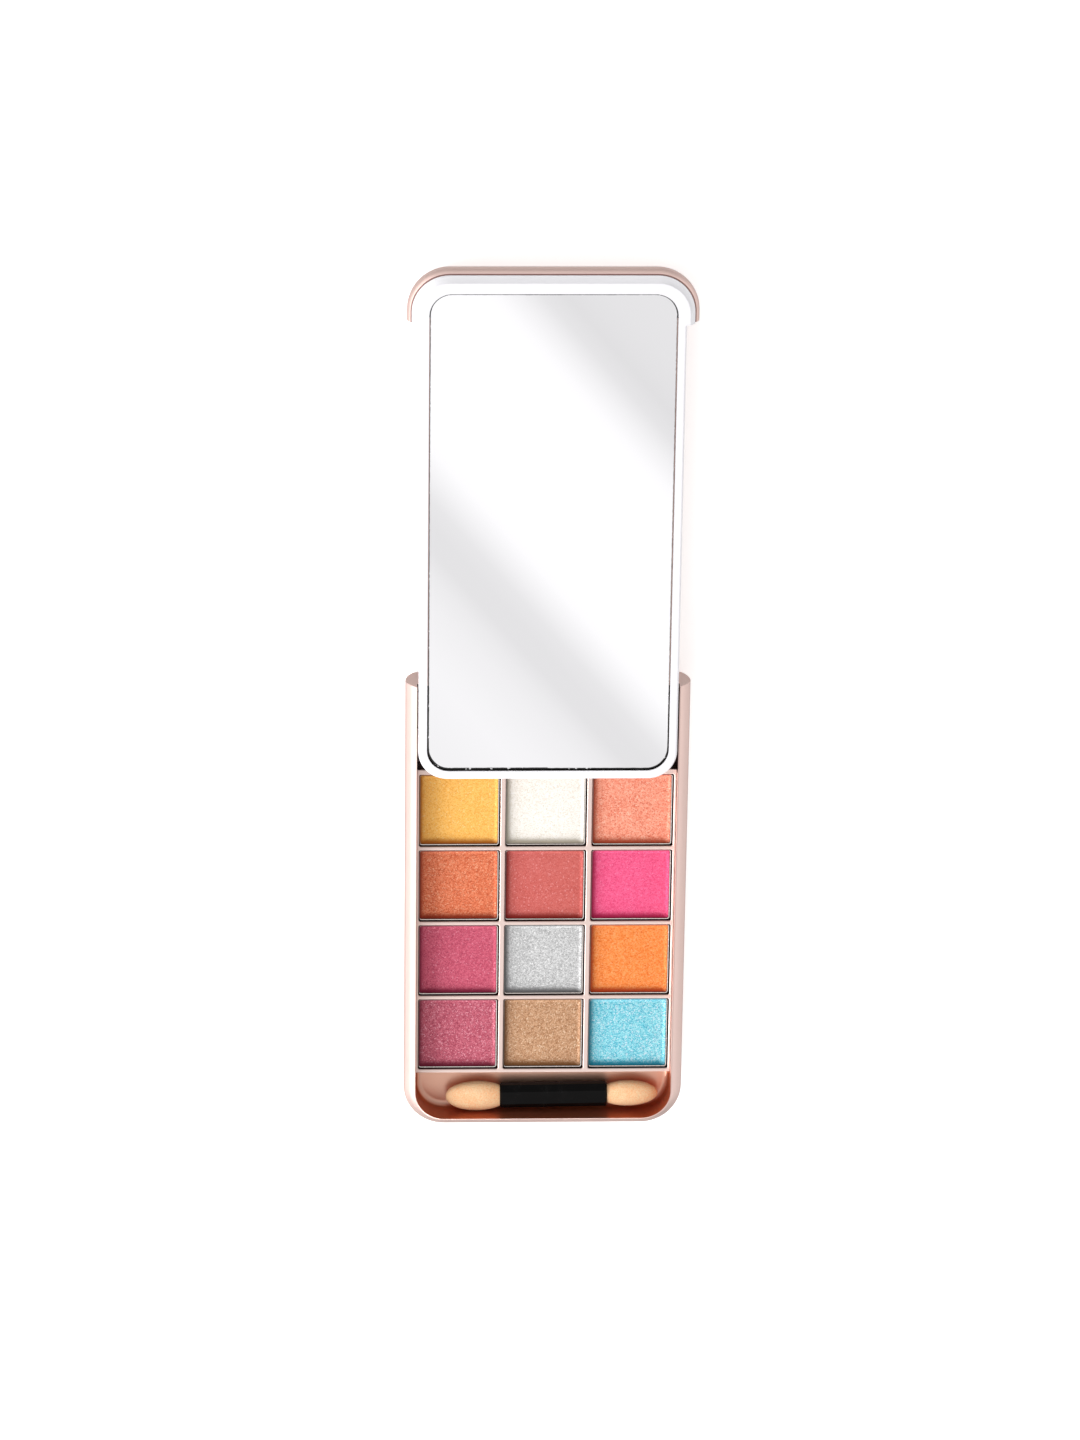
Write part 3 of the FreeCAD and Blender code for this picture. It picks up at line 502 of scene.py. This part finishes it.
def powder_material(shade, base, dark, light, spark, grain, shimmer, cloud, soft=0.0):
    """Pressed pigment: a coarse and a fine grain, pearl flakes that catch light, and slow clouds from the press."""
    m = Mat("powder_" + shade)
    _, a, b = m.cells(3700)
    _, c, d = m.cells(7800)
    clump = m.noise(3400, 2.0, 0.7)
    slow = m.noise(150, 3.0, 0.55)
    f = m.math("MULTIPLY", m.math("SUBTRACT", a, 0.5), grain * 2.9)
    f = m.math("ADD", f, m.math("MULTIPLY", m.math("SUBTRACT", c, 0.5), grain * 1.5))
    f = m.math("ADD", f, m.math("MULTIPLY", m.math("SUBTRACT", clump, 0.5), grain * 1.1))
    f = m.math("ADD", f, m.math("MULTIPLY", m.math("SUBTRACT", slow, 0.5), cloud * 2.0))
    darker = m.mix(m.math("MULTIPLY", f, -1.0, clamp=True), base, dark)
    colour = m.mix(m.math("MULTIPLY", f, 1.0, clamp=True), darker, light)
    flake = m.math("GREATER_THAN", b, 1.0 - 0.09 * shimmer)
    flake2 = m.math("GREATER_THAN", d, 1.0 - 0.08 * shimmer)
    lit = m.math("MULTIPLY", m.math("ADD", flake, flake2, clamp=True), 0.6)
    colour = m.mix(lit, colour, spark)
    # the edge band: packed pigment and painted shadow of the bars
    edge = m.math("MULTIPLY", m.attribute("packed_and_shaded_edge"), 0.96)
    colour = m.mix(edge, colour, richer(scaled(dark, 0.50 + 0.5 * max(0.0, min(dark) - 0.3)), 1.25))
    height = m.math("ADD", m.math("MULTIPLY", a, 0.6), m.math("MULTIPLY", clump, 0.8))
    m.set(
        Base_Color=colour,
        Metallic=m.mixf(lit, 0.18 * shimmer, 0.45),
        Roughness=m.mixf(lit, 0.72 - 0.14 * shimmer, 0.42),
        Specular_IOR_Level=0.25,
        Sheen_Weight=0.12 * soft,
        Normal=m.bump(height, 0.10 + 0.22 * grain, 0.00010),
    )
    return m.mat


#         base, dark, light, spark (sRGB), grain, shimmer, cloud, lumps, dome
SHADES = {
    "gold": ((255, 192, 94), (216, 130, 34), (255, 213, 129), (255, 226, 161), 0.28, 0.35, 0.14, 0.4, 1.0),
    "pearl": ((247, 241, 233), (212, 203, 185), (250, 246, 242), (253, 251, 251), 0.36, 0.3, 0.08, 0.4, 1.0),
    "coral": ((241, 149, 122), (210, 100, 75), (250, 181, 155), (252, 205, 181), 0.55, 0.5, 0.3, 1.0, 0.8),
    "copper": ((221, 113, 74), (174, 65, 34), (249, 155, 115), (253, 189, 152), 0.36, 0.8, 0.12, 0.6, 1.0),
    "rose": ((203, 99, 92), (162, 48, 42), (222, 129, 125), (236, 157, 157), 0.22, 0.35, 0.2, 0.4, 1.0),
    "hot_pink": ((238, 87, 134), (201, 33, 91), (248, 121, 163), (252, 144, 183), 0.33, 0.15, 0.08, 0.4, 1.0),
    "raspberry": ((202, 86, 111), (149, 38, 69), (224, 115, 138), (235, 148, 168), 0.34, 0.4, 0.14, 0.4, 1.0),
    "silver": ((193, 193, 193), (138, 137, 138), (226, 226, 226), (249, 248, 248), 0.41, 0.95, 0.08, 0.4, 1.0),
    "orange": ((243, 139, 64), (214, 86, 9), (248, 169, 108), (251, 186, 131), 0.46, 0.22, 0.1, 0.4, 1.0),
    "mauve": ((190, 87, 107), (137, 40, 65), (222, 129, 146), (245, 176, 191), 0.39, 0.75, 0.12, 0.4, 1.0),
    "bronze": ((189, 142, 106), (142, 95, 59), (217, 175, 141), (245, 215, 184), 0.45, 0.8, 0.1, 0.4, 1.0),
    "sky_blue": ((119, 205, 220), (44, 158, 187), (174, 229, 235), (236, 238, 247), 0.51, 1.0, 0.1, 0.4, 1.0),
}

for i, (shade, (base, dark, light, spark, grain, shimmer, cloud, lumps, dome)) in enumerate(SHADES.items()):
    node = "powder_" + shade
    mesh = powder_mesh(node, 100 + 17 * i, 0.5 + grain, lumps, dome)
    mesh.materials.append(
        powder_material(shade, lin(*base), lin(*dark), lin(*light), lin(*spark), grain, shimmer, cloud)
    )
    tin(shade, scaled(lin(*dark), 0.55))
    o = bpy.data.objects.new("cake_" + shade, mesh)
    scene.collection.objects.link(o)
    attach(o, "case")
    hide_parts(node)


# ------------------------------------------------------------------ the applicator's two foam tips
STICK = Matrix.Translation(Vector((2.9, -54.2, 5.4)) * MM) @ Matrix.Rotation(math.radians(0.8), 4, "Z")


def foam_tip(name, node, side, x0, length, width, thick, cut, point, seed):
    """A flattened foam egg that is cut flat where it meets the handle, with a welded seam round its edge and open pores."""
    a = length / (1 + cut)
    cx = x0 + cut * a
    rings, around = 150, 132
    verts, faces = [], []
    t0 = math.acos(-cut)
    half_w, half_t = width / 2 - 0.13, thick / 2 - 0.07
    for i in range(rings):
        s = i / (rings - 1)
        th = t0 * (1 - s)
        u = math.cos(th)
        r = math.sin(th) ** point if u > 0 else math.sin(th)
        lx = cx + (a - 0.08) * u
        for j in range(around):
            p = 2 * math.pi * j / around
            c, q = math.cos(p), math.sin(p)
            ex = 2.0 / 2.25
            yy = half_w * r * math.copysign(abs(c) ** ex, c)
            zz = half_t * r * math.copysign(abs(q) ** ex, q)
            seam = math.exp(-((zz / 0.16) ** 2)) * min(1.0, r * 1.6)
            soft = math.exp(-((zz / 0.55) ** 2)) * min(1.0, r * 1.6)
            yy += math.copysign(1.0, c) * (0.10 * seam - 0.10 * soft) if abs(c) > 0.2 else 0.0
            here = Vector((lx, yy, zz))
            k = here * 3.1 + Vector((seed, 0, 0))
            pore = max(0.0, noise.noise(k * 1.35) - 0.12)
            d = 0.035 * noise.noise(k) + 0.03 * noise.noise(here * 0.9 + Vector((0, seed, 0))) - 0.10 * pore - 0.02
            out = Vector((u * 0.6, yy / (half_w * half_w) * 2, zz / (half_t * half_t) * 2))
            if out.length > 1e-6:
                out.normalize()
            fade = min(1.0, i / 3.0)
            here = here + out * d * fade
            verts.append(STICK @ (Vector((side * here.x, here.y * side, here.z)) * MM))
    for i in range(rings - 1):
        for j in range(around):
            k = (j + 1) % around
            f = (i * around + j, i * around + k, (i + 1) * around + k, (i + 1) * around + j)
            faces.append(tuple(reversed(f)))
    faces.append(tuple(range(around)))
    faces.append(tuple(reversed([(rings - 1) * around + j for j in range(around)])))
    mesh = bpy.data.meshes.new(name)
    mesh.from_pydata(verts, [], faces)
    mesh.validate()
    # the last ring has no width: it closes in one point
    import bmesh

    bm = bmesh.new()
    bm.from_mesh(mesh)
    bmesh.ops.remove_doubles(bm, verts=bm.verts, dist=1e-6)
    bmesh.ops.recalc_face_normals(bm, faces=bm.faces)
    bm.to_mesh(mesh)
    bm.free()
    for p in mesh.polygons:
        p.use_smooth = len(p.vertices) <= 4
    o = bpy.data.objects.new(name, mesh)
    scene.collection.objects.link(o)
    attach(o, "applicator")
    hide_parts(node)
    return o


m = Mat("sponge")
dist, r1, r2 = m.cells(4200)
fine = m.noise(5200, 3.0, 0.6)
slow = m.noise(220, 2.0)
pore_pits_and_shade = m.math("MULTIPLY", m.math("LESS_THAN", r1, 0.26), m.span(dist, 0.0, 0.45, 1.0, 0.0))
foam = m.math("ADD", m.math("MULTIPLY", fine, 0.5), m.math("MULTIPLY", m.noise(2900, 2.0), 0.6))
foam = m.math("ADD", foam, m.math("MULTIPLY", slow, 0.3))
tone = m.mix(m.span(foam, 0.50, 0.90), lin(255, 180, 124), lin(255, 224, 180))
m.set(
    # the pores are painted a darker orange: painted shade in the pits; the same mask dents the bump
    Base_Color=m.mix(m.math("MULTIPLY", pore_pits_and_shade, 0.42), tone, lin(196, 118, 66)),
    Roughness=0.92,
    Specular_IOR_Level=0.2,
    Sheen_Weight=0.15,
    Normal=m.bump(m.math("SUBTRACT", fine, pore_pits_and_shade), 0.35, 0.00008),
)
sponge_mat = m.mat
for args in (
    ("foam_tip_large", "sponge_tip_large", -1, 13.85, 14.2, 8.3, 4.9, 0.7, 0.90, 3.0),
    ("foam_tip_small", "sponge_tip_small", 1, 13.85, 13.4, 7.2, 4.5, 0.7, 0.98, 11.0),
):
    foam_tip(*args).data.materials.append(sponge_mat)


# ------------------------------------------------------------------ floor and studio
def sheet_mesh(name, sx, sy, at, matrix=None):
    mesh = bpy.data.meshes.new(name)
    mesh.from_pydata(
        [(-sx / 2, -sy / 2, 0), (sx / 2, -sy / 2, 0), (sx / 2, sy / 2, 0), (-sx / 2, sy / 2, 0)], [], [(0, 1, 2, 3)]
    )
    o = bpy.data.objects.new(name, mesh)
    o.location = at
    if matrix is not None:
        o.rotation_euler = matrix.to_euler()
    scene.collection.objects.link(o)
    return o


floor = sheet_mesh("floor", 14.0, 14.0, (0, 0, -0.0001))
m = Mat("floor")
m.set(
    Base_Color=m.mix(m.noise(3.0, 2.0), (0.93, 0.93, 0.93), (0.95, 0.95, 0.95)),
    Roughness=0.8,
    Specular_IOR_Level=0.1,
    Emission_Color=(1.0, 1.0, 1.0),
    Emission_Strength=0.48,
)
floor.data.materials.append(m.mat)
floor.visible_glossy = False

# An overhead scrim. What the mirror sees of it is crossed by two soft grey folds.
HEIGHT = 2.5
mlo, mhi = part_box("mirror")
plane = mhi.z
image = Vector((EYE.x, EYE.y, 2 * plane - EYE.z))


def on_scrim(px, py):
    """Where the mirror shows the scrim, for a point of the mirror."""
    p = Vector((px, py, plane))
    d = p - image
    return image + d * ((HEIGHT - image.z) / d.z)


def picture(p):
    q = turn @ p + SHIFT
    return Vector((540 + FOCAL_PX * q.x / -q.z, 720 - FOCAL_PX * q.y / -q.z))


rows, vals = [], []
for fx in (0.1, 0.5, 0.9):
    for fy in (0.1, 0.5, 0.9):
        px, py = mlo.x + (mhi.x - mlo.x) * fx, mlo.y + (mhi.y - mlo.y) * fy
        c = on_scrim(px, py)
        g = picture(Vector((px, py, plane)))
        rows.append((1.0, c.x, c.y))
        vals.append(g.y - 1.11 * g.x)
k0, kx, ky = np.linalg.lstsq(np.array(rows), np.array(vals), rcond=None)[0]
SCRIM_X, SCRIM_Y = -0.6, -1.15
scrim = sheet_mesh("scrim", 5.0, 3.6, (SCRIM_X, SCRIM_Y, HEIGHT))
kc = k0 + kx * SCRIM_X + ky * SCRIM_Y
mat = bpy.data.materials.new("scrim")
mat.use_nodes = True
nt = mat.node_tree
nt.nodes.clear()
tc = nt.nodes.new("ShaderNodeTexCoord")
dot = nt.nodes.new("ShaderNodeVectorMath")
dot.operation = "DOT_PRODUCT"
nt.links.new(tc.outputs["Object"], dot.inputs[0])
dot.inputs[1].default_value = (float(kx), float(ky), 0.0)
add = nt.nodes.new("ShaderNodeMath")
add.operation = "ADD"
nt.links.new(dot.outputs["Value"], add.inputs[0])
add.inputs[1].default_value = float(kc)
rng = nt.nodes.new("ShaderNodeMapRange")
rng.inputs[1].default_value = -420.0
rng.inputs[2].default_value = 320.0
nt.links.new(add.outputs[0], rng.inputs[0])
ramp = nt.nodes.new("ShaderNodeValToRGB")
ramp.color_ramp.interpolation = "LINEAR"
FOLDS = (
    (-420, 229), (-380, 228), (-352, 226), (-331, 223.5), (-305, 229), (-280, 242), (-255, 252), (-238, 255.5),
    (-48, 255.5), (-30, 253), (-5, 243), (20, 231), (45, 227), (70, 227), (95, 235), (120, 239.5), (145, 242),
    (170, 244.5), (195, 246), (225, 244.5), (270, 242), (320, 242),
)
els = ramp.color_ramp.elements
while len(els) > 1:
    els.remove(els[-1])
for i, (s, v) in enumerate(FOLDS):
    e = els[0] if i == 0 else els.new((s + 420) / 740)
    e.position = (s + 420) / 740
    g = grey(v) / 0.96
    e.color = (g, g, g, 1)
nt.links.new(rng.outputs[0], ramp.inputs[0])
em = nt.nodes.new("ShaderNodeEmission")
nt.links.new(ramp.outputs[0], em.inputs["Color"])
# the scrim is lit from its left
sep = nt.nodes.new("ShaderNodeSeparateXYZ")
nt.links.new(tc.outputs["Object"], sep.inputs[0])
left = nt.nodes.new("ShaderNodeMapRange")
left.interpolation_type = "SMOOTHSTEP"
nt.links.new(sep.outputs[0], left.inputs[0])
for i, v in enumerate((-0.10 - SCRIM_X, -1.5 - SCRIM_X, 0.0, 0.35)):
    left.inputs[i + 1].default_value = v
right = nt.nodes.new("ShaderNodeMapRange")
right.interpolation_type = "SMOOTHSTEP"
nt.links.new(sep.outputs[0], right.inputs[0])
for i, v in enumerate((0.35 - SCRIM_X, 1.7 - SCRIM_X, 0.0, -0.20)):
    right.inputs[i + 1].default_value = v
gain = nt.nodes.new("ShaderNodeMath")
gain.operation = "ADD"
nt.links.new(left.outputs[0], gain.inputs[0])
nt.links.new(right.outputs[0], gain.inputs[1])
total = nt.nodes.new("ShaderNodeMath")
total.operation = "ADD"
nt.links.new(gain.outputs[0], total.inputs[0])
# and it is a little dimmer outside the patch that the mirror shows
away = nt.nodes.new("ShaderNodeVectorMath")
away.operation = "DISTANCE"
nt.links.new(tc.outputs["Object"], away.inputs[0])
away.inputs[1].default_value = (0.11 - SCRIM_X, -0.82 - SCRIM_Y, 0.0)
ring = nt.nodes.new("ShaderNodeMapRange")
ring.interpolation_type = "SMOOTHSTEP"
nt.links.new(away.outputs["Value"], ring.inputs[0])
for i, v in enumerate((0.26, 0.75, 1.0, 0.85)):
    ring.inputs[i + 1].default_value = v
nt.links.new(ring.outputs[0], total.inputs[1])
nt.links.new(total.outputs[0], em.inputs["Strength"])
out = nt.nodes.new("ShaderNodeOutputMaterial")
nt.links.new(em.outputs[0], out.inputs["Surface"])
scrim.data.materials.append(mat)


def area(name, at, target, sx, sy, power, colour=(1, 1, 1)):
    light = bpy.data.lights.new(name, "AREA")
    light.shape = "RECTANGLE"
    light.size, light.size_y = sx, sy
    light.energy = power
    light.color = colour
    o = bpy.data.objects.new(name, light)
    o.location = at
    o.rotation_mode = "QUATERNION"
    o.rotation_quaternion = (Vector(target) - Vector(at)).to_track_quat("-Z", "Y")
    scene.collection.objects.link(o)
    return o


area("key_left", (-2.9, -1.1, 1.55), (0, 0.05, 0), 1.2, 1.8, 88)
area("fill_low", (-0.9, -2.9, 1.3), (0, 0.0, 0), 1.4, 0.9, 38)

world = bpy.data.worlds.new("studio")
scene.world = world
world.use_nodes = True
# a soft room: bright walls, brightest on the left, dimmer behind, with a darker ceiling and floor
t = Tree(world.node_tree)
x, y, z = t.xyz(t.node("ShaderNodeTexCoord").outputs["Generated"])
level = t.span(z, -0.6, 0.2, 0.44, 0.96, smooth=True)
level = t.math("SUBTRACT", level, t.span(z, 0.30, 0.78, 0.0, 0.6, smooth=True))
level = t.math("SUBTRACT", level, t.span(y, 0.3, 0.9, 0.0, 0.15, smooth=True))
front = t.math("MULTIPLY", t.span(t.math("MULTIPLY", y, -1.0), 0.5, 0.9, smooth=True), t.span(z, 0.10, -0.35, smooth=True))
level = t.math("SUBTRACT", level, t.math("MULTIPLY", front, 0.3))
wall = t.math("MULTIPLY", t.span(t.math("MULTIPLY", x, -1.0), 0.35, 0.95, smooth=True), t.span(z, -0.35, 0.10, smooth=True))
wall = t.math("MULTIPLY", wall, t.span(z, 0.25, 0.55, 1.0, 0.2, smooth=True))
level = t.math("ADD", level, t.math("MULTIPLY", wall, 1.2))
level = t.math("ADD", level, t.math("MULTIPLY", t.span(x, 0.45, 0.95, smooth=True), t.span(z, 0.30, 0.60, 0.14, 0.0)))
bg = world.node_tree.nodes["Background"]
bg.inputs["Color"].default_value = (1.0, 1.0, 1.0, 1.0)
t.put(bg.inputs["Strength"], level)
